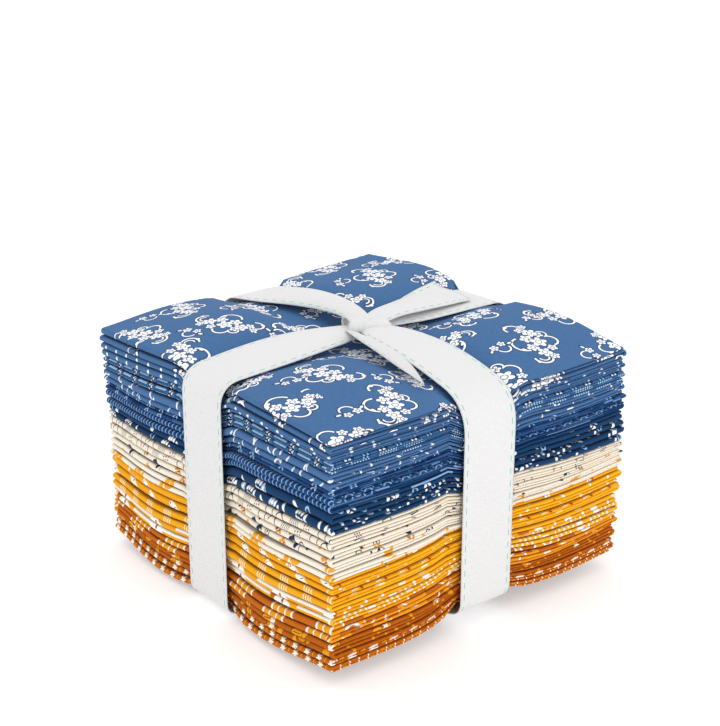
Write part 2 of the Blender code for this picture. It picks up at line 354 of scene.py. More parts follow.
class Print:
    """Draws a repeat on the flat cloth. Places are in mm, and a shape is the distance
    in mm outside its outline, so shapes join by taking the least distance."""

    def __init__(self, name, ground, flat=(CUT_WIDTH, CUT_LENGTH)):
        self.material = bpy.data.materials.new(name)
        self.material.use_nodes = True
        self.tree = self.material.node_tree
        self.tree.nodes.clear()
        cloth = self.add("UVMap", uv_map="cloth")
        self.place = self.add("VectorMath MULTIPLY", cloth, (*flat, 0))
        self.colour = linear(ground)

    def add(self, kind, *values, out=0, **settings):
        """Adds a node with its settings, and returns one of its outputs. The values or
        links of its sockets come in their order, or as one dict by name or number. A kind
        such as "Math SINE" is a kind and its operation."""
        kind, *operation = kind.split()
        made = self.tree.nodes.new("ShaderNode" + kind)
        if operation:
            made.operation = operation[0]
        for name, value in settings.items():
            setattr(made, name, value)
        by_key = values and isinstance(values[0], dict)
        for key, value in (values[0] if by_key else dict(enumerate(values))).items():
            socket = made.inputs[key]
            if isinstance(value, bpy.types.NodeSocket):
                self.tree.links.new(value, socket)
            elif isinstance(value, tuple):
                socket.default_value = value[:len(socket.default_value)]
            else:
                socket.default_value = value
        return made.outputs[out] if made.outputs else made

    def xy(self, place):
        split = self.add("SeparateXYZ", place).node
        return split.outputs[0], split.outputs[1]

    def cells(self, pitch_x, pitch_y, shift=0.5, start=(0.0, 0.0), turn=None, jitter=0.0):
        """(place in the cell from its middle, the cell's number). Each row is moved on by
        shift of a pitch. turn: most degrees that a motif is turned either way. jitter:
        most mm that it is moved either way."""
        pitch = (pitch_x, pitch_y, 1)
        moved = self.add("VectorMath SUBTRACT", self.place, (*start, 0))
        across, along = self.xy(self.add("VectorMath DIVIDE", moved, pitch))
        row = self.add("Math FLOOR", along)
        across = self.add("Math MULTIPLY_ADD", row, shift, across)
        scaled = self.add("CombineXYZ", across, along)
        cell = self.add("VectorMath FLOOR", scaled)
        inside = self.add("VectorMath FRACTION", scaled)
        inside = self.add("VectorMath SUBTRACT", inside, (0.5, 0.5, 0))
        inside = self.add("VectorMath MULTIPLY", inside, (pitch_x, pitch_y, 0))
        if jitter:
            draw = self.add("TexWhiteNoise", {"Vector": cell}, out=1)
            off = self.add("VectorMath SUBTRACT", draw, (0.5, 0.5, 0.5))
            reach = (jitter * 2, jitter * 2, 0)
            off = self.add("VectorMath MULTIPLY", off, reach)
            inside = self.add("VectorMath SUBTRACT", inside, off)
        if turn:
            draw = self.add("TexWhiteNoise", {"Vector": cell})
            most = math.radians(turn)
            angle = self.add("Math MULTIPLY_ADD", draw, 2 * most, -most)
            inside = self.add("VectorRotate", {"Vector": inside, "Angle": angle},
                              rotation_type="Z_AXIS")
        return inside, cell

    def chance(self, cell, seed):
        """A number from 0 to 1 for each cell."""
        return self.add("TexWhiteNoise", {"Vector": cell, "W": seed}, noise_dimensions="4D")

    def shifted(self, place, x, y, turn=0.0):
        """The place as seen from a point x, y, turned by degrees."""
        moved = self.add("VectorMath SUBTRACT", place, (x, y, 0))
        if not turn:
            return moved
        return self.add("VectorRotate", {"Vector": moved, "Angle": -math.radians(turn)},
                        rotation_type="Z_AXIS")

    def disc(self, place, radius, stretch=1.0):
        """Distance outside a disc, or an oval stretched in x."""
        if stretch != 1.0:
            place = self.add("VectorMath MULTIPLY", place, (1 / stretch, 1, 0))
        length = self.add("VectorMath LENGTH", place, out=1)
        return self.add("Math SUBTRACT", length, radius)

    def discs(self, place, *rows):
        """Discs joined as one shape. A row is x, y, turn, radius and stretch."""
        return self.joined(*[self.disc(self.shifted(place, x, y, turn), radius, stretch)
                             for x, y, turn, radius, stretch in rows])

    def bar(self, place, half_x, half_y):
        """Distance outside a bar: the larger of |x| - half_x and |y| - half_y."""
        size = self.add("VectorMath ABSOLUTE", place)
        over = self.add("VectorMath SUBTRACT", size, (half_x, half_y, 0))
        return self.add("Math MAXIMUM", *self.xy(over))

    def petals(self, place, count, inner, outer):
        """A flower: the radius is inner + (outer - inner) |cos(count * angle / 2)|."""
        across, along = self.xy(place)
        angle = self.add("Math ARCTAN2", along, across)
        angle = self.add("Math MULTIPLY", angle, count / 2)
        swing = self.add("Math COSINE", angle)
        swing = self.add("Math ABSOLUTE", swing)
        edge = self.add("Math MULTIPLY_ADD", swing, outer - inner, inner)
        length = self.add("VectorMath LENGTH", place, out=1)
        return self.add("Math SUBTRACT", length, edge)

    def line(self, shape, half):
        """A line of that half width along a shape's outline."""
        return self.grown(self.add("Math ABSOLUTE", shape), half)

    def arch(self, place, radius, half, low=0.0):
        """The part of a ring above y = low."""
        below = self.add("Math SUBTRACT", low, self.xy(place)[1])
        return self.within(self.line(self.disc(place, radius), half), below)

    def grown(self, shape, by):
        """The shape, with its outline moved out by some mm."""
        return self.add("Math SUBTRACT", shape, by)

    def within(self, shape, other):
        """The part of one shape that is inside another."""
        return self.add("Math MAXIMUM", shape, other)

    def joined(self, *shapes):
        """All the shapes as one."""
        least = shapes[0]
        for shape in shapes[1:]:
            least = self.add("Math MINIMUM", least, shape)
        return least

    def where(self, shape, chance, below):
        """The shape, only in the cells whose chance is below a share."""
        hidden = self.add("Math GREATER_THAN", chance, below)
        far_off = 100.0
        return self.add("Math MULTIPLY_ADD", hidden, far_off, shape)

    def ink(self, shape, colour, soft=0.09, strength=1.0):
        """Paints the inside of a shape, soft mm to each side of its outline."""
        mask = self.add("MapRange", {"Value": shape, "From Min": -soft, "From Max": soft,
                                     "To Min": strength, "To Max": 0.0},
                        interpolation_type="SMOOTHSTEP")
        self.colour = self.add("Mix", {0: mask, 6: self.colour, 7: linear(colour)},
                               out=2, data_type="RGBA")

    def finish(self, mottle=0.10, thread=0.6, twill=False):
        """Cotton's own look: woven threads, slubs, and a soft nap. Plain weave crosses
        two rows of threads; twill is one row of ribs on the slant. The threads are drawn
        about twice as coarse as real ones, which are too fine to show. On plain cotton,
        the cloth between the folds is painted darker than the outside: painted shade,
        since little light gets in between tight layers."""
        stretched = self.add("VectorMath MULTIPLY", self.place, (1.1, 0.5, 0))
        slub = self.add("TexNoise", {"Vector": stretched, "Scale": 1.0, "Detail": 4.0,
                                     "Roughness": 0.7})
        shade = self.add("MapRange", {"Value": slub, "From Min": 0.3, "From Max": 0.7,
                                      "To Min": 1 - mottle, "To Max": 1 + mottle})
        rate = 2 * math.pi / thread
        turns = self.add("VectorMath MULTIPLY", self.place, (rate, rate, 0))
        across, along = self.xy(turns)
        if twill:
            slant = self.add("Math ADD", across, along)
            weave = self.add("Math SINE", slant)
        else:
            across = self.add("Math SINE", across)
            along = self.add("Math SINE", along)
            weave = self.add("Math MULTIPLY", across, along)
        shade = self.add("Math MULTIPLY_ADD", weave, 0.015, shade)
        if not twill:
            # Painted shade: plain cotton is darkened inside the folds, as the 'lit' attribute
            # falls to 0.
            lit = self.add("Attribute", out=2, attribute_name="lit")
            painted_fold_shade = self.add("Math MULTIPLY_ADD", lit, 0.72, 0.28)
            shade = self.add("Math MULTIPLY", shade, painted_fold_shade)
        toned = self.add("VectorMath SCALE", {0: self.colour, "Scale": shade})
        bump = self.add("Bump", {"Height": weave, "Strength": 0.5 if twill else 0.25,
                                 "Distance": 0.00006})
        cotton = self.add("BsdfPrincipled", {
            "Base Color": toned, "Normal": bump, "Roughness": 0.85,
            "Specular IOR Level": 0.12, "Sheen Weight": 0.03, "Sheen Roughness": 0.5})
        self.add("OutputMaterial", {"Surface": cotton})
        return self.material


# ------------------------------------------------------------------------ the prints

# Where the folds cross the flat cloth, in mm: the front folds' rows, and the column
# that shows on the right face. A repeat starts so that its motifs fall on them.
FRONT_FOLD, FOLD_STEP, SIDE_FOLD = 138.5, 281.4, 305.2


def on_folds(pitch_x, rows):
    """Pitch and start of a repeat with that many rows from one front fold to the next."""
    pitch_y = FOLD_STEP / rows
    return dict(pitch_x=pitch_x, pitch_y=pitch_y,
                start=(SIDE_FOLD - pitch_x / 2, FRONT_FOLD - pitch_y / 2))


def beside_crease(p, ground, *marks):
    """Repaints the right face's crease in a ground colour, then draws marks on it. The
    mustard prints pass a paler ground here: painted light, a lit copy of the mustard
    for the right face's brighter light. The marks are print.
    """
    near = p.bar(p.shifted(p.place, SIDE_FOLD, 0), 2.2, 400.0)
    p.ink(near, ground)
    for shape, colour in marks:
        p.ink(p.within(near, shape), colour)


def strewn(p, pitch_y, share, seed, draw, turn=None):
    """Marks strewn along the right face's crease, in a share of the cells. draw gives the
    shape of one mark from the place in its cell."""
    pitch_x = 1.7
    start = (SIDE_FOLD - pitch_x / 2, 3.0 + seed)
    cell, number = p.cells(pitch_x, pitch_y, 0.37, start, turn=turn, jitter=0.3)
    return p.where(draw(cell), p.chance(number, seed), share)


def spray(p, cell, blossoms, scrolls, navy, white):
    """A spray: scrolls first, then blossoms one over another, each outlined in navy."""
    stems = p.joined(*scrolls)
    p.ink(p.grown(stems, 0.36), navy)
    p.ink(stems, white)
    for x, y, size in blossoms:
        at = p.shifted(cell, x, y, 37 * x)
        flower = p.petals(at, 5, size * 0.5, size)
        p.ink(p.grown(flower, 0.34), navy)
        p.ink(flower, white)
        p.ink(p.line(p.disc(at, size * 0.34), 0.14), navy)


def denim_floral():
    """Denim blue with white sprays of blossom and scrolls, each outlined in navy."""
    p = Print("denim_floral_cotton", "#426997")
    white, navy = "#F4F5F8", "#143058"
    cell, _ = p.cells(33, 27, 0.42, (4.0, 6.0), turn=180, jitter=1.6)
    scrolls = [p.arch(p.shifted(cell, x, y, turn), radius, half, low)
               for x, y, turn, radius, half, low in
               ((-10.6, -2.8, 100, 3.0, 0.42, -1.2), (11.0, -2.0, -70, 3.4, 0.42, -1.5),
                (10.8, -1.8, -60, 1.9, 0.32, -0.8), (1.0, -4.4, 190, 4.4, 0.42, 0.2),
                (0.4, 6.2, 8, 3.2, 0.4, 0.0), (-4.6, 5.6, 60, 2.0, 0.34, -0.6))]
    buds = p.discs(cell, (-12.8, -4.6, 0, 0.85, 1), (13.2, -4.8, 0, 0.8, 1),
                   (4.6, -6.0, 30, 0.6, 2))
    blossoms = ((-11.4, 1.6, 1.7), (-8.8, -0.8, 2.1), (10.6, 2.8, 2.0), (-4.4, 4.2, 2.0),
                (5.2, 4.8, 2.0), (-6.2, 1.8, 2.9), (7.6, 0.4, 2.9), (-2.4, -1.6, 2.7),
                (3.6, -2.2, 2.5), (0.6, 1.8, 3.3))
    spray(p, cell, blossoms, (*scrolls, buds), navy, white)
    sprig, _ = p.cells(33, 27, 0.42, (20.5, 19.0), turn=180, jitter=1.2)
    scrolls = (p.arch(p.shifted(sprig, 0.4, -1.8, 170), 2.6, 0.34, -0.4),
               p.discs(sprig, (4.8, -0.6, 0, 0.55, 1.9), (-5.0, -0.8, 30, 0.5, 2.1)))
    spray(p, sprig, ((-2.4, 0.4, 1.9), (2.0, 0.9, 1.7)), scrolls, navy, white)
    return p.finish(0.09)


def denim_dot():
    """Denim blue with white pin dots in staggered rows."""
    p = Print("denim_dot_cotton", "#446C9B")
    dot, _ = p.cells(**on_folds(8.8, 62))
    p.ink(p.disc(dot, 0.62, 1.15), "#EEF2F8")
    specks = strewn(p, 5.3, 0.5, 2.0, lambda at: p.disc(at, 0.45))
    beside_crease(p, "#446C9B", (specks, "#E4EAF4"))
    return p.finish(0.09)


def blue_dash():
    """Mid blue with pairs of pale dashes, and four white dots on navy between them."""
    p = Print("blue_dash_cotton", "#3A6797")
    cell, _ = p.cells(**on_folds(13.2, 40))
    knot = p.shifted(cell, 5.6, 0)
    p.ink(p.bar(p.shifted(cell, -1.0, 0), 4.1, 1.9), "#245087")
    p.ink(p.bar(knot, 1.5, 2.3), "#12315C")
    pair = [p.bar(p.shifted(cell, -1.0, y), 3.4, 0.24) for y in (0.8, -0.8)]
    p.ink(p.joined(*pair), "#A8CDE4")
    dots = p.discs(knot, (-0.7, 1.0, 0, 0.5, 1), (0.8, 0.5, 0, 0.5, 1), (0.6, -1.1, 0, 0.5, 1),
                   (-0.9, -0.6, 0, 0.45, 1))
    p.ink(dots, "#F0F3F6")
    rung, _ = p.cells(1.7, 1.15, 0.0, (SIDE_FOLD - 0.85, 0.0))
    block, number = p.cells(3.4, 11.7, 0.39, (SIDE_FOLD - 1.7, 5.0))
    rungs = p.within(p.bar(rung, 0.5, 0.26), p.bar(block, 1.7, 4.2))
    rungs = p.where(rungs, p.chance(number, 1.0), 0.65)
    beside_crease(p, "#3A6797", (rungs, "#B4D3E8"))
    return p.finish(0.08)


def denim_mark():
    """Denim blue with sparse white hooks, bars and crooks at all angles."""
    p = Print("denim_mark_cotton", "#476E9E")
    white = "#F2F4F8"
    cell, number = p.cells(**on_folds(14.0, 38), turn=180, jitter=1.0)
    chance = p.chance(number, 2.0)
    hook = p.joined(p.arch(cell, 1.9, 0.36, -0.4), p.bar(p.shifted(cell, -1.9, -1.3), 0.36, 1.2))
    tick = p.joined(p.bar(cell, 2.4, 0.34), p.bar(p.shifted(cell, 1.3, 0.7), 0.34, 1.0))
    p.ink(p.where(hook, chance, 0.55), white)
    p.ink(p.where(tick, p.add("Math SUBTRACT", 1.0, chance), 0.45), white)
    small, number = p.cells(**on_folds(5.1, 58), shift=0.3, turn=90)
    p.ink(p.where(p.bar(small, 1.1, 0.3), p.chance(number, 5.0), 0.22), "#E4EAF4")
    strokes = strewn(p, 6.3, 0.34, 4.0, lambda at: p.bar(at, 0.24, 1.5), turn=60)
    beside_crease(p, "#476E9E", (strokes, "#EEF2F8"))
    return p.finish(0.09)


def blue_ring():
    """Mid blue blocked with navy, with small pale rings."""
    p = Print("blue_ring_cotton", "#386497")
    cell, number = p.cells(7.4, 3.1, 0.37)
    block = p.bar(cell, 3.8, 1.6)
    p.ink(p.where(block, p.chance(number, 1.0), 0.5), "#1D477C", soft=0.3)
    p.ink(p.where(block, p.chance(number, 7.0), 0.25), "#12345F", soft=0.3)
    cell, number = p.cells(**on_folds(9.0, 60))
    ring = p.line(p.disc(cell, 1.0), 0.27)
    p.ink(p.where(ring, p.chance(number, 3.0), 0.8), "#A8C8E8")
    dark = strewn(p, 6.7, 0.5, 1.0, lambda at: p.bar(at, 0.8, 2.9))
    pale = strewn(p, 7.9, 0.28, 6.0, lambda at: p.bar(at, 0.5, 2.2))
    beside_crease(p, "#2F5B8F", (dark, "#153A6B"), (pale, "#6E97C6"))
    return p.finish(0.12)


def navy_tick():
    """Navy with close-set pale blue crescents, and a few long pale stripes."""
    p = Print("navy_tick_cotton", "#123E6C")
    cell, _ = p.cells(**on_folds(2.2, 72))
    p.ink(p.arch(p.shifted(cell, 0.9, 0, 90), 1.7, 0.27, 0.2), "#7FA6D6", soft=0.12)
    cell, number = p.cells(1.3, 26.0, 0.31, (SIDE_FOLD - 0.65, 3.0))
    stripes = p.where(p.bar(cell, 0.36, 10.5), p.chance(number, 4.0), 0.6)
    beside_crease(p, "#123E6C", (stripes, "#86ACDC"))
    return p.finish(0.10)


def navy_leaf():
    """Deep navy with white ears of small leaves, square dots, and pale blue rings."""
    p = Print("navy_leaf_cotton", "#0F3A63")
    white, pale = "#F3F5F7", "#9CC3E6"
    ear, number = p.cells(**on_folds(15.0, 34), shift=0.43, jitter=0.8)
    grains = p.discs(ear, *[(x, y, turn, 0.5, 1.9) for x, y, turn in (
        (-3.4, 0.9, 50), (-2.0, 1.1, 50), (-0.6, 0.9, 50), (0.9, 0.2, 50),
        (-3.2, -0.9, -50), (-1.8, -1.1, -50), (-0.4, -1.2, -50), (1.2, -1.0, -50))])
    p.ink(p.where(grains, p.chance(number, 1.0), 0.75), white)
    leaf, number = p.cells(**on_folds(6.4, 62), shift=0.37, turn=180, jitter=0.8)
    p.ink(p.where(p.disc(leaf, 0.62, 2.0), p.chance(number, 2.0), 0.30), white)
    p.ink(p.where(p.line(p.disc(leaf, 1.1), 0.26), p.chance(number, 9.0), 0.16), pale)
    dots = strewn(p, 2.3, 0.36, 6.0, lambda at: p.bar(at, 0.42, 0.5))
    wedges = strewn(p, 5.9, 0.30, 8.0, lambda at: p.disc(at, 0.7, 1.6), turn=180)
    rings = strewn(p, 9.1, 0.25, 3.0, lambda at: p.line(p.disc(at, 0.8), 0.22))
    beside_crease(p, "#0F3A63", (dots, white), (wedges, white), (rings, pale))
    return p.finish(0.10)


def cream_box():
    """Cream with fine navy boxes and arches, rows of strokes, and grids of dots."""
    p = Print("cream_box_cotton", "#EFE4D2")
    navy = "#22344F"
    cell, _ = p.cells(**on_folds(29.0, 24), shift=0.41, jitter=0.6)
    box = p.line(p.bar(p.shifted(cell, -9, 0.2, 8), 1.9, 1.7), 0.2)
    arch = p.arch(p.shifted(cell, -3.0, -0.6, -20), 2.0, 0.2, -0.2)
    p.ink(p.joined(box, arch), navy, soft=0.12)
    strokes = [p.bar(p.shifted(cell, 3.0 + 0.95 * i, 0.4, -12), 0.14, 1.1) for i in range(5)]
    p.ink(p.joined(*strokes), navy, soft=0.12, strength=0.9)
    dots = p.discs(cell, *[(10.4 + 1.3 * i, 0.9 * (j - 0.8) + 0.2 * i, 0, 0.27, 1)
                           for i in range(3) for j in range(3)])
    p.ink(dots, navy, soft=0.12)
    cell, number = p.cells(4.2, 6.1, 0.5, (SIDE_FOLD - 2.1, 0.0), turn=40)
    p.ink(p.where(p.bar(cell, 0.18, 0.9), p.chance(number, 3.0), 0.12), "#7E90A8", soft=0.12)
    return p.finish(0.035)


def cream_figure():
    """Cream with small navy tools and orange buds, drawn with a few strokes each."""
    p = Print("cream_figure_cotton", "#EFE5D4")
    navy = "#1E3150"
    cell, _ = p.cells(**on_folds(23.0, 26), shift=0.39, turn=25, jitter=0.8)
    buds = p.discs(cell, *[(x, y, 0, 0.62, 1.3) for x, y in
                           ((-5.0, 0.6), (-3.6, 1.1), (-2.6, 0.1), (-4.6, -0.9))])
    p.ink(buds, "#E89B2C")
    marks = (p.bar(p.shifted(cell, -3.4, 0.2, 30), 1.1, 0.16),
             p.bar(p.shifted(cell, 5.6, -0.6, 55), 1.3, 0.16),
             p.line(p.disc(p.shifted(cell, 9.6, 0.1), 1.2), 0.2),
             p.discs(cell, (3.6, 0.2, 40, 0.85, 1.7), (5.0, 0.9, -30, 0.6, 1.9),
                     (9.6, 0.1, 0, 0.35, 1)))
    p.ink(p.joined(*marks), navy, soft=0.12)
    fleck, number = p.cells(3.6, 4.6, 0.5, (SIDE_FOLD - 1.8, 0.0), turn=180)
    p.ink(p.where(p.disc(fleck, 0.42, 1.8), p.chance(number, 3.0), 0.14), navy, soft=0.12)
    p.ink(p.where(p.disc(fleck, 0.40, 1.5), p.chance(number, 6.0), 0.08), "#E08A2A", soft=0.12)
    return p.finish(0.03)


def cream_flower():
    """Cream with loose mustard petals and a few orange ones."""
    p = Print("cream_flower_cotton", "#F1E8D9")
    cell, number = p.cells(**on_folds(21.0, 22), shift=0.45, turn=30, jitter=1.4)
    petals = p.discs(cell, (-2.6, 0.8, 60, 1.25, 1.7), (0.6, 0.9, 110, 1.35, 1.6),
                     (3.0, -0.4, 20, 0.8, 2.0), (-5.2, -1.0, -30, 0.6, 1.8))
    p.ink(p.where(petals, p.chance(number, 1.0), 0.8), "#EFA620")
    fleck, number = p.cells(3.4, 5.2, 0.5, (SIDE_FOLD - 1.7, 0.0), turn=180)
    p.ink(p.where(p.disc(fleck, 0.5, 2.0), p.chance(number, 3.0), 0.13), "#F0A826")
    return p.finish(0.03)


def mustard_bird():
    """Mustard with small white birds, dark eyes and feet, and tiny white dots."""
    p = Print("mustard_bird_cotton", "#EEA412")
    white, brown = "#F7EFDC", "#A8560F"
    cell, number = p.cells(**on_folds(17.0, 30), shift=0.44, jitter=0.8)
    chance = p.chance(number, 1.0)
    bird = p.discs(cell, (0, 0.1, -12, 1.15, 2.1), (-2.1, 0.8, 0, 0.85, 1),
                   (2.9, -0.5, -25, 0.42, 2.6))
    p.ink(p.where(bird, chance, 0.8), "#F7F1E4")
    eye_feet_wing = p.joined(p.disc(p.shifted(cell, -2.2, 0.9), 0.27),
                             p.bar(p.shifted(cell, 0.4, -1.6, 20), 0.13, 0.55),
                             p.bar(p.shifted(cell, 1.2, -1.6, -15), 0.13, 0.5),
                             p.bar(p.shifted(cell, 0.6, 0.1, 20), 0.8, 0.12))
    p.ink(p.where(eye_feet_wing, chance, 0.8), "#7A3A12", soft=0.12)
    dot, number = p.cells(4.4, 4.6, 0.5, (SIDE_FOLD - 2.2, 0.0), jitter=0.6)
    p.ink(p.where(p.disc(dot, 0.42, 1.6), p.chance(number, 4.0), 0.30), white)
    p.ink(p.where(p.disc(dot, 0.42, 2.6), p.chance(number, 7.0), 0.10), brown)
    pale = strewn(p, 4.7, 0.22, 5.0, lambda at: p.disc(at, 0.55, 1.6), turn=60)
    dark = strewn(p, 7.3, 0.14, 9.0, lambda at: p.disc(at, 0.4, 1.5))
    # Painted light: the paler mustard ground on the right face's crease stands for the brighter
    # light there; the marks on it are print.
    beside_crease(p, "#F2B01A", (pale, white), (dark, brown))
    return p.finish(0.05)


def mustard_tally():
    """Mustard with cream tally strokes in staggered groups, and small rust scallops."""
    p = Print("mustard_tally_cotton", "#EFA713")
    cream = "#FBEBC8"
    cell, _ = p.cells(**on_folds(13.2, 56))
    strokes = [p.bar(p.shifted(cell, x, 0.2 * (x % 2), 6), 0.24, half) for x, half in
               ((-1.9, 1.1), (-0.6, 1.3), (0.7, 1.25), (2.0, 0.9))]
    p.ink(p.joined(*strokes), cream)
    p.ink(p.disc(p.shifted(cell, 6.4, -2.1), 0.75, 1.5), "#A8500E")
    marks = strewn(p, 9.7, 0.3, 3.0, lambda at: p.bar(at, 0.5, 1.6))
    # Painted light: the paler mustard ground on the right face's crease stands for the brighter
    # light there; the marks on it are print.
    beside_crease(p, "#F3B21B", (marks, cream))
    return p.finish(0.05)


def mustard_bar():
    """Mustard with long white bars, white clouds with a rust spot, and white ladders."""
    p = Print("mustard_bar_cotton", "#EEA412")
    white = "#F8F4EC"
    cell, _ = p.cells(**on_folds(58.0, 40), shift=0.31)
    p.ink(p.bar(p.shifted(cell, 1.0, 0.8), 21.0, 0.55), white)
    p.ink(p.bar(p.shifted(cell, 24.5, 0), 2.2, 2.6), "#C0660F")
    cloud, number = p.cells(**on_folds(29.0, 40), shift=0.5, jitter=0.5)
    chance = p.chance(number, 2.0)
    puff = p.discs(cloud, (-2.0, -0.6, 0, 1.5, 1.5), (0.8, 0.1, 0, 1.8, 1.3),
                   (3.6, -0.7, 0, 1.3, 1.5))
    p.ink(p.where(puff, chance, 0.6), white)
    p.ink(p.where(p.disc(p.shifted(cloud, 0.9, 0.2), 0.65), chance, 0.6), "#B4560E")
    rung, _ = p.cells(1.5, 2.3, 0.5, (SIDE_FOLD - 0.75, 0.0))
    group, number = p.cells(3.0, 17.0, 0.37, (SIDE_FOLD - 1.5, 4.0))
    ladder = p.within(p.bar(rung, 0.55, 0.42), p.bar(group, 1.6, 5.5))
    post = p.where(p.bar(p.shifted(group, 0, 7.4), 0.7, 2.0), p.chance(number, 1.0), 0.6)
    # Painted light: the paler mustard ground on the right face's crease stands for the brighter
    # light there; the marks on it are print.
    beside_crease(p, "#F2B01A", (ladder, white), (post, white))
    return p.finish(0.05)


def rust_arc():
    """Bands of mustard and rust, with a white arc at each change of colour."""
    p = Print("rust_arc_cotton", "#E8981A")
    brown, white = "#C0640E", "#F8F2E6"
    band, _ = p.cells(**on_folds(25.0, 30), shift=0.36)
    rust = p.disc(p.shifted(band, 5.0, 0.6), 4.6, 1.5)
    p.ink(rust, brown, soft=0.15)
    p.ink(p.line(rust, 0.36), white)
    p.ink(p.line(p.disc(p.shifted(band, -7.5, 0.4), 2.0), 0.34), white)
    blocks = strewn(p, 11.3, 0.45, 3.0, lambda at: p.bar(at, 0.9, 4.6))
    strokes = strewn(p, 6.1, 0.3, 4.0, lambda at: p.bar(at, 0.28, 1.6), turn=50)
    beside_crease(p, "#E8981A", (blocks, brown), (strokes, white))
    return p.finish(0.07)


def gold_floral():
    """Rust brown with gold petals and leaf scrolls, and small white florets."""
    p = Print("gold_floral_cotton", "#B55C06")
    gold, deep = "#E79C18", "#8A3C08"
    cell, _ = p.cells(**on_folds(17.0, 24), shift=0.46, turn=60, jitter=1.6)
    leaves = p.discs(cell, (-4.6, 0.4, 40, 1.2, 2.1), (0.2, 1.2, -35, 1.35, 2.0),
                     (4.6, -0.2, 30, 1.15, 2.2), (-0.6, -2.4, 80, 0.9, 1.9))
    leaves = p.joined(leaves, p.arch(p.shifted(cell, 2.0, -3.0, 160), 3.2, 0.3))
    p.ink(p.grown(leaves, 0.3), deep, strength=0.7)
    p.ink(leaves, gold)
    p.ink(p.line(p.bar(p.shifted(cell, 0.2, 1.2, -35), 1.9, 0.06), 0.1), deep)
    floret, _ = p.cells(**on_folds(34.0, 24), shift=0.5, jitter=2.0)
    p.ink(p.petals(floret, 5, 0.6, 1.5), "#F6EBD6")
    petals = strewn(p, 5.3, 0.45, 2.0, lambda at: p.disc(at, 0.6, 2.4), turn=40)
    beside_crease(p, "#B55C06", (petals, gold))
    return p.finish(0.09)


def rust_sprig():
    """Rust with rows of small white sprigs, gold ticks, and a dashed white edge."""
    p = Print("rust_sprig_cotton", "#C26606")
    white = "#FBF3E4"
    cell, _ = p.cells(**on_folds(6.9, 62), shift=0.5)
    p.ink(p.bar(p.shifted(cell, 3.4, 0), 0.8, 1.7), "#A84A0A", soft=0.2)
    p.ink(p.bar(p.shifted(cell, 3.4, 0.1, 12), 0.34, 1.1), "#EBA02A")
    rays = p.petals(p.shifted(cell, 0, 0.45), 7, 0.25, 1.55)
    stem = p.bar(p.shifted(cell, 0, -0.9), 0.24, 1.0)
    p.ink(p.joined(rays, stem), white)
    dash, _ = p.cells(5.4, FOLD_STEP, 0.0, (0.0, FRONT_FOLD - FOLD_STEP / 2 + 2.6))
    p.ink(p.bar(dash, 1.9, 0.24), "#F7E6C8")
    post, number = p.cells(4.4, 3.9, 0.0, (SIDE_FOLD - 2.2, 1.0))
    blocks = p.where(p.bar(p.shifted(post, 0, 1.2), 0.6, 0.9), p.chance(number, 2.0), 0.6)
    ticks = p.bar(p.shifted(post, 0, -1.0), 0.7, 0.22)
    beside_crease(p, "#C26606", (blocks, "#D98A18"), (ticks, white))
    return p.finish(0.08)


PRINTS = {print_of.__name__: print_of for print_of in (
    rust_sprig, gold_floral, rust_arc, mustard_bar, mustard_tally, mustard_bird, cream_flower,
    cream_figure, cream_box, navy_leaf, navy_tick, blue_ring, denim_mark, blue_dash, denim_dot,
    denim_floral)}


# ---------------------------------------------------------------------------- the tie

KNOT = (8.0, 0.4, 101.8)
FACE_Y, FACE_X = 73.0, 76.9  # from the middle to the ribbon's upright runs

# A place on a ribbon's path: x y z, the reach of the bend there, half the width it shows,
# how far its middle stands proud of its edges, and degrees that one edge leans up.
Station = namedtuple("Station", "x y z reach half cup lean")


def stations(*rows):
    return tuple(Station(*row) for row in rows)


def band_stations(front_arm, back_arm, face, drop, bend, under):
    """A whole band in its own plane: out along one arm, down, under, up, back in. Its top
    corners are at the heights in drop and bend over the reaches in bend. Its under corners
    are at the heights in under, and it lies flat from 52 mm inward."""
    places = ((-face, drop[0], bend[0]), (-face, under[0], 5.0), (-52, 0.24, 12.0),
              (52, 0.24, 12.0), (face, under[1], 5.0), (face, drop[1], bend[1]))
    flat = [Station(RIBBON_LINE, y, z, reach, RIBBON_HALF, 0.0, 0) for y, z, reach in places]
    return (*front_arm, *flat, *back_arm)


FRONT_BACK = band_stations(
    stations((6.0, -1.0, 100.6, 8, 4.6, 1.6, 0), (3.8, -9.0, 99.5, 8, 6.6, 2.0, -10),
             (2.4, -22.0, 99.4, 9, 10.2, 1.6, -6), (1.2, -40.0, 97.8, 12, 12.4, 0.8, -5)),
    stations((0.8, 44.0, 100.0, 12, 12.2, 0.8, 0), (1.6, 28.0, 100.6, 9, 10.6, 1.6, -4),
             (4.4, 13.0, 101.2, 8, 6.8, 1.6, -6), (6.6, 3.0, 100.6, 8, 4.6, 1.6, -3)),
    FACE_Y, (94.4, 99.8), (9.0, 9.0), (1.7, 1.4))

# The side band, in its own plane: its x is the bundle's y, and its y the bundle's x.
LEFT_RIGHT = band_stations(
    stations((2.0, 4.0, 101.6, 8, 4.4, 1.8, 0), (5.6, -8.0, 103.0, 8, 5.4, 2.4, 4),
             (6.0, -22.0, 103.6, 9, 6.9, 2.8, 8), (4.2, -40.0, 102.6, 12, 8.8, 2.4, 9),
             (2.6, -56.0, 100.0, 9, 11.2, 1.4, 5)),
    stations((1.0, 50.0, 98.9, 10, 12.7, 0.8, 0), (1.2, 34.0, 101.0, 9, 12.0, 1.6, 0),
             (1.2, 19.0, 101.6, 8, 9.6, 2.2, 2), (0.6, 9.0, 100.8, 8, 5.0, 1.6, 0)),
    FACE_X, (96.6, 91.2), (9.0, 13.0), (2.0, 7.6))

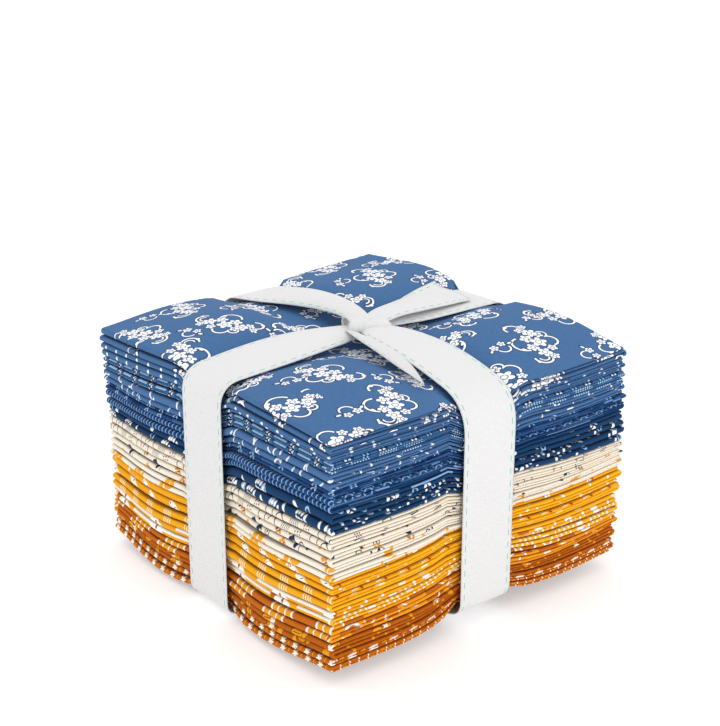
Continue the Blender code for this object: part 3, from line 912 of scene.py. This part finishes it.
NEAR_END = stations(
    (0.6, -3.6, 99.6, 5, 3.0, 1.0, -20), (9.6, -6.8, 99.6, 6, 3.8, 1.4, -32),
    (20.0, -9.2, 100.6, 6, 3.7, 1.4, -12), (33.0, -12.0, 100.8, 7, 3.4, 1.3, 2),
    (46.0, -15.0, 99.6, 7, 2.9, 0.7, 4), (56.0, -17.8, 98.5, 5, 1.6, 0.2, 2),
    (64.5, -20.6, 97.6, 4, 0.2, 0.0, 0))
FAR_END = stations(
    (7.4, 0.4, 102.0, 6, 4.6, 1.4, 0), (3.8, 12.0, 103.8, 7, 7.6, 2.4, -6),
    (-0.6, 27.0, 102.6, 8, 11.0, 2.4, -7), (-4.0, 43.0, 101.6, 8, 12.6, 1.4, -4),
    (-6.6, 62.0, 101.4, 8, 12.7, 0.8, 0))

# A turn round the knot: its place along the knot, its slant, half its width, its depth and
# height from the knot's middle, and the angles where it starts and stops.
Turn = namedtuple("Turn", "place slant wide deep high start stop")
LUMP = Turn(0.0, 0.0, 7.6, 4.1, 2.8, 0.0, 2 * math.pi)
TURNS = (Turn(-4.6, 1.8, 3.8, 4.7, 3.5, -1.0, 4.1), Turn(2.6, 2.6, 4.2, 4.5, 3.0, -1.1, 3.6),
         Turn(-1.0, -3.4, 3.0, 5.2, 3.7, -0.9, 3.4))


def rounded_path(stations, step):
    """A line through the stations, each corner bent by a quadratic curve that starts and
    ends its reach away (half of a short side at most). Every column is bent alike."""
    rows = np.array(stations, float)
    values = np.delete(rows, 3, axis=1)
    sides = np.linalg.norm(np.diff(rows[:, :3], axis=0), axis=1)
    parts = [values[:1]]
    for i in range(1, len(rows) - 1):
        before = min(rows[i, 3], sides[i - 1] / 2) / sides[i - 1]
        after = min(rows[i, 3], sides[i] / 2) / sides[i]
        start = values[i] + (values[i - 1] - values[i]) * before
        end = values[i] + (values[i + 1] - values[i]) * after
        t = np.linspace(0, 1, 9)[:, None]
        parts.append((1 - t) ** 2 * start + 2 * t * (1 - t) * values[i] + t * t * end)
    parts.append(values[-1:])
    line = np.concatenate(parts)
    steps = np.linalg.norm(np.diff(line[:, :3], axis=0), axis=1)
    along = np.concatenate([[0], np.cumsum(steps)])
    even = np.linspace(0, along[-1], max(int(along[-1] / step), 8))
    even = np.unique(np.round(np.concatenate([even, along]), 2))
    even = even[np.concatenate([[True], np.diff(even) > 0.25])]
    return np.stack([np.interp(even, along, column) for column in line.T], axis=1), even


def cloth_top(x, y):
    """Height of the bundle's top cloth at a place, between the folds."""
    top_pass = LEVELS - 1
    level = np.full(np.shape(x), top_pass + PLY)
    return settle(x, y, level, level * 0 + top_pass, level * 0 + top_pass)[2]


def swept_strip(stations, across, swap=False, cut=0.0):
    """A ribbon along a path: centre + width * side + proud * normal.

    With t from -1 to 1 across the ribbon and a = 1.25, width is half * sin(a t) / sin(a)
    and proud is cup * (cos(a t) - cos(a)) / (1 - cos(a)) - cup / 2, so the edges turn down.
    The end is cut on a slant: the path's last places move back by cut * (1 - t) / 2. No
    place on top is lower than the cloth. swap: the path's x and y are the bundle's y and x.
    """
    line, along = rounded_path(stations, 2.2)
    centre, half, cup, lean = line[:, :3], line[:, 3], line[:, 4], np.radians(line[:, 5])
    tangent = np.gradient(centre, along, axis=0)
    tangent /= np.linalg.norm(tangent, axis=1)[:, None]
    across = np.array(across, float)
    side = across - tangent * (tangent @ across)[:, None]
    side /= np.linalg.norm(side, axis=1)[:, None]
    normal = np.cross(tangent, side)
    leaned = side * np.cos(lean)[:, None] + normal * np.sin(lean)[:, None]
    normal = np.cross(tangent, leaned)
    t, a = np.linspace(-1, 1, 15), 1.25
    wide = np.sin(a * t) / math.sin(a)
    proud = (np.cos(a * t) - math.cos(a)) / (1 - math.cos(a)) - 0.5
    back = cut * smooth_step(along, along[-1] - 15, along[-1])[:, None] * (1 - t) / 2
    points = (centre[:, None] + leaned[:, None] * (half[:, None] * wide)[..., None]
              + normal[:, None] * (cup[:, None] * proud)[..., None]
              - tangent[:, None] * back[..., None])
    if swap:
        points = points[..., [1, 0, 2]]
    x, y, z = np.moveaxis(points, -1, 0)
    on_top = (np.abs(x) < HALF_X - 2) & (np.abs(y) < HALF_Y - 2) & (z > 50)
    lowest = cloth_top(x.ravel(), y.ravel()).reshape(x.shape) + 0.42
    points[..., 2] = np.where(on_top, np.maximum(z, lowest), z)
    uv = np.stack(np.meshgrid((t + 1) / 2, along / INCH), axis=-1).reshape(-1, 2)
    return points.reshape(-1, 3), uv, x.shape


def knot_strips():
    """The knot: a rounded lump, and three turns of ribbon drawn slantwise round it.

    A turn at angle a is at its depth * cos a toward the front corner and its height *
    sin a up, moved sideways by a slant times cos a. With t from -1 to 1 across it, its
    edges lie 1 - 0.8 t^4 lower, and the lump's whole section shrinks by sqrt(1 - t^4).
    """
    rightward, frontward = np.array([0.63, 0.78, 0]), np.array([0.78, -0.63, 0])
    up = np.array([0, 0, 1.0])
    thick = 1.2
    strips = []
    for turn in (LUMP, *TURNS):
        angle, t = np.meshgrid(np.linspace(turn.start, turn.stop, 41), np.linspace(-1, 1, 13),
                               indexing="ij")
        if turn is LUMP:
            deep, high = turn.deep * np.sqrt(1 - t ** 4), turn.high * np.sqrt(1 - t ** 4)
        else:
            crease = 0.16 * np.cos(9 * t + 1.5 * np.cos(angle))
            raised = (thick + crease) * (1 - 0.8 * t ** 4) - thick
            deep, high = turn.deep + raised, turn.high + raised
        shift = turn.place + turn.slant * np.cos(angle) + turn.wide * t
        points = (np.array(KNOT) + rightward * shift[..., None]
                  + frontward * (deep * np.cos(angle))[..., None]
                  + up * (high * np.sin(angle))[..., None])
        uv = np.stack([t / 4 + 0.5, angle * 4.5 / INCH], axis=-1)
        strips.append((points.reshape(-1, 3), uv.reshape(-1, 2), angle.shape))
    return strips


def twill_ribbon():
    """White cotton twill: fine slanting ribs, and a teal running stitch inside each edge."""
    p = Print("white_twill_ribbon", "#DEDDDD", (INCH, INCH))
    inset, stitch_pitch = 2.8, 5.0
    apart = INCH - 2 * inset
    stitch, _ = p.cells(apart, stitch_pitch, 0.0, (inset - apart / 2, 0.0))
    p.ink(p.bar(stitch, 0.26, 1.25), "#58C6B8", soft=0.12)
    return p.finish(0.02, thread=1.1, twill=True)


# --------------------------------------------------------------------------- pieces

def build_ribbon():
    bands_and_ends = [swept_strip(FRONT_BACK, (1, 0, 0)),
                      swept_strip(LEFT_RIGHT, (1, 0, 0), swap=True),
                      swept_strip(NEAR_END, (0.3, 1, 0)),
                      swept_strip(FAR_END, (-1, -0.2, 0), cut=7.0)]
    mesh = joined_grids("ribbon_tie", [*bands_and_ends, *knot_strips()])
    piece = sheet_piece("ribbon_tie", mesh, RIBBON_SHEET, twill_ribbon())
    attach(piece, "root")
    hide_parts("ribbon")


def build_quarters():
    for index, quarter in enumerate(QUARTERS):
        node = f"quarter_{index + 1:02d}_{quarter.print}"
        name = node + "_cloth"
        fine = index == len(QUARTERS) - 1      # the top one, whose flat face shows
        points, uv, shape, lit = folded_sheet(index, 42 if fine else 28, 56 if fine else 26, 8)
        mesh = joined_grids(name, [(points, uv, shape)])
        # The 'lit' attribute sets the painted shade between the folds.
        layer = mesh.attributes.new("lit", "FLOAT", "POINT")
        layer.data.foreach_set("value", lit.astype(np.float32))
        piece = sheet_piece(name, mesh, SHEET, PRINTS[quarter.print]())
        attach(piece, "root")
        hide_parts(node)


# ------------------------------------------------------------------- camera and studio

def build_camera():
    """A 68 mm lens, level with the horizon, that looks down on the front corner."""
    camera = bpy.data.objects.new("camera", bpy.data.cameras.new("camera"))
    bpy.context.scene.collection.objects.link(camera)
    camera.data.lens = 68.0
    camera.data.sensor_width = 36.0
    azimuth, elevation, away = math.radians(50.8), math.radians(18.96), 548.0
    back = np.array([math.sin(azimuth) * math.cos(elevation),
                     -math.cos(azimuth) * math.cos(elevation), math.sin(elevation)])
    target = np.array([1.5, 1.8, 83.8])
    camera.location = (target + away * back) * MM
    camera.rotation_euler = (math.pi / 2 - elevation, 0, azimuth)
    bpy.context.scene.camera = camera


def build_stage():
    """A pale floor, a white surround, and three large soft lamps."""
    mesh = bpy.data.meshes.new("floor")
    corners = [(x, y, -0.0002) for x, y in ((-3, -3), (3, -3), (3, 3), (-3, 3))]
    mesh.from_pydata(corners, [], [(0, 1, 2, 3)])
    floor = bpy.data.objects.new("floor", mesh)
    bpy.context.scene.collection.objects.link(floor)
    # Sheet acrylic with a matt face, lit from below, so it shows as even white.
    acrylic = bpy.data.materials.new("white_acrylic_light_table")
    acrylic.use_nodes = True
    surface = acrylic.node_tree.nodes["Principled BSDF"].inputs
    surface["Base Color"].default_value = (0.75, 0.75, 0.75, 1)
    surface["Roughness"].default_value = 0.9
    surface["Emission Color"].default_value = (1, 1, 1, 1)
    surface["Emission Strength"].default_value = 0.34
    mesh.materials.append(acrylic)
    world = bpy.data.worlds.new("surround")
    world.use_nodes = True
    surround = world.node_tree.nodes["Background"].inputs
    surround["Color"].default_value = (1, 1, 1, 1)
    surround["Strength"].default_value = 1.06
    bpy.context.scene.world = world
    for name, place, size, watts in (("over", (-0.2, 0.1, 1.3), 0.8, 1.2),
                                     ("front_left", (-0.5, -1.2, 0.6), 0.6, 0.3),
                                     ("front_right", (1.3, -0.2, 0.6), 0.6, 2.6)):
        lamp = bpy.data.lights.new(name, "AREA")
        lamp.size, lamp.energy = size, watts
        light = bpy.data.objects.new(name, lamp)
        bpy.context.scene.collection.objects.link(light)
        light.location = place
        toward = Vector((0, 0, 0.05)) - Vector(place)
        light.rotation_euler = toward.to_track_quat("-Z", "Y").to_euler()
    bpy.context.scene.view_settings.view_transform = "Standard"


build_camera()
build_stage()
build_ribbon()
build_quarters()
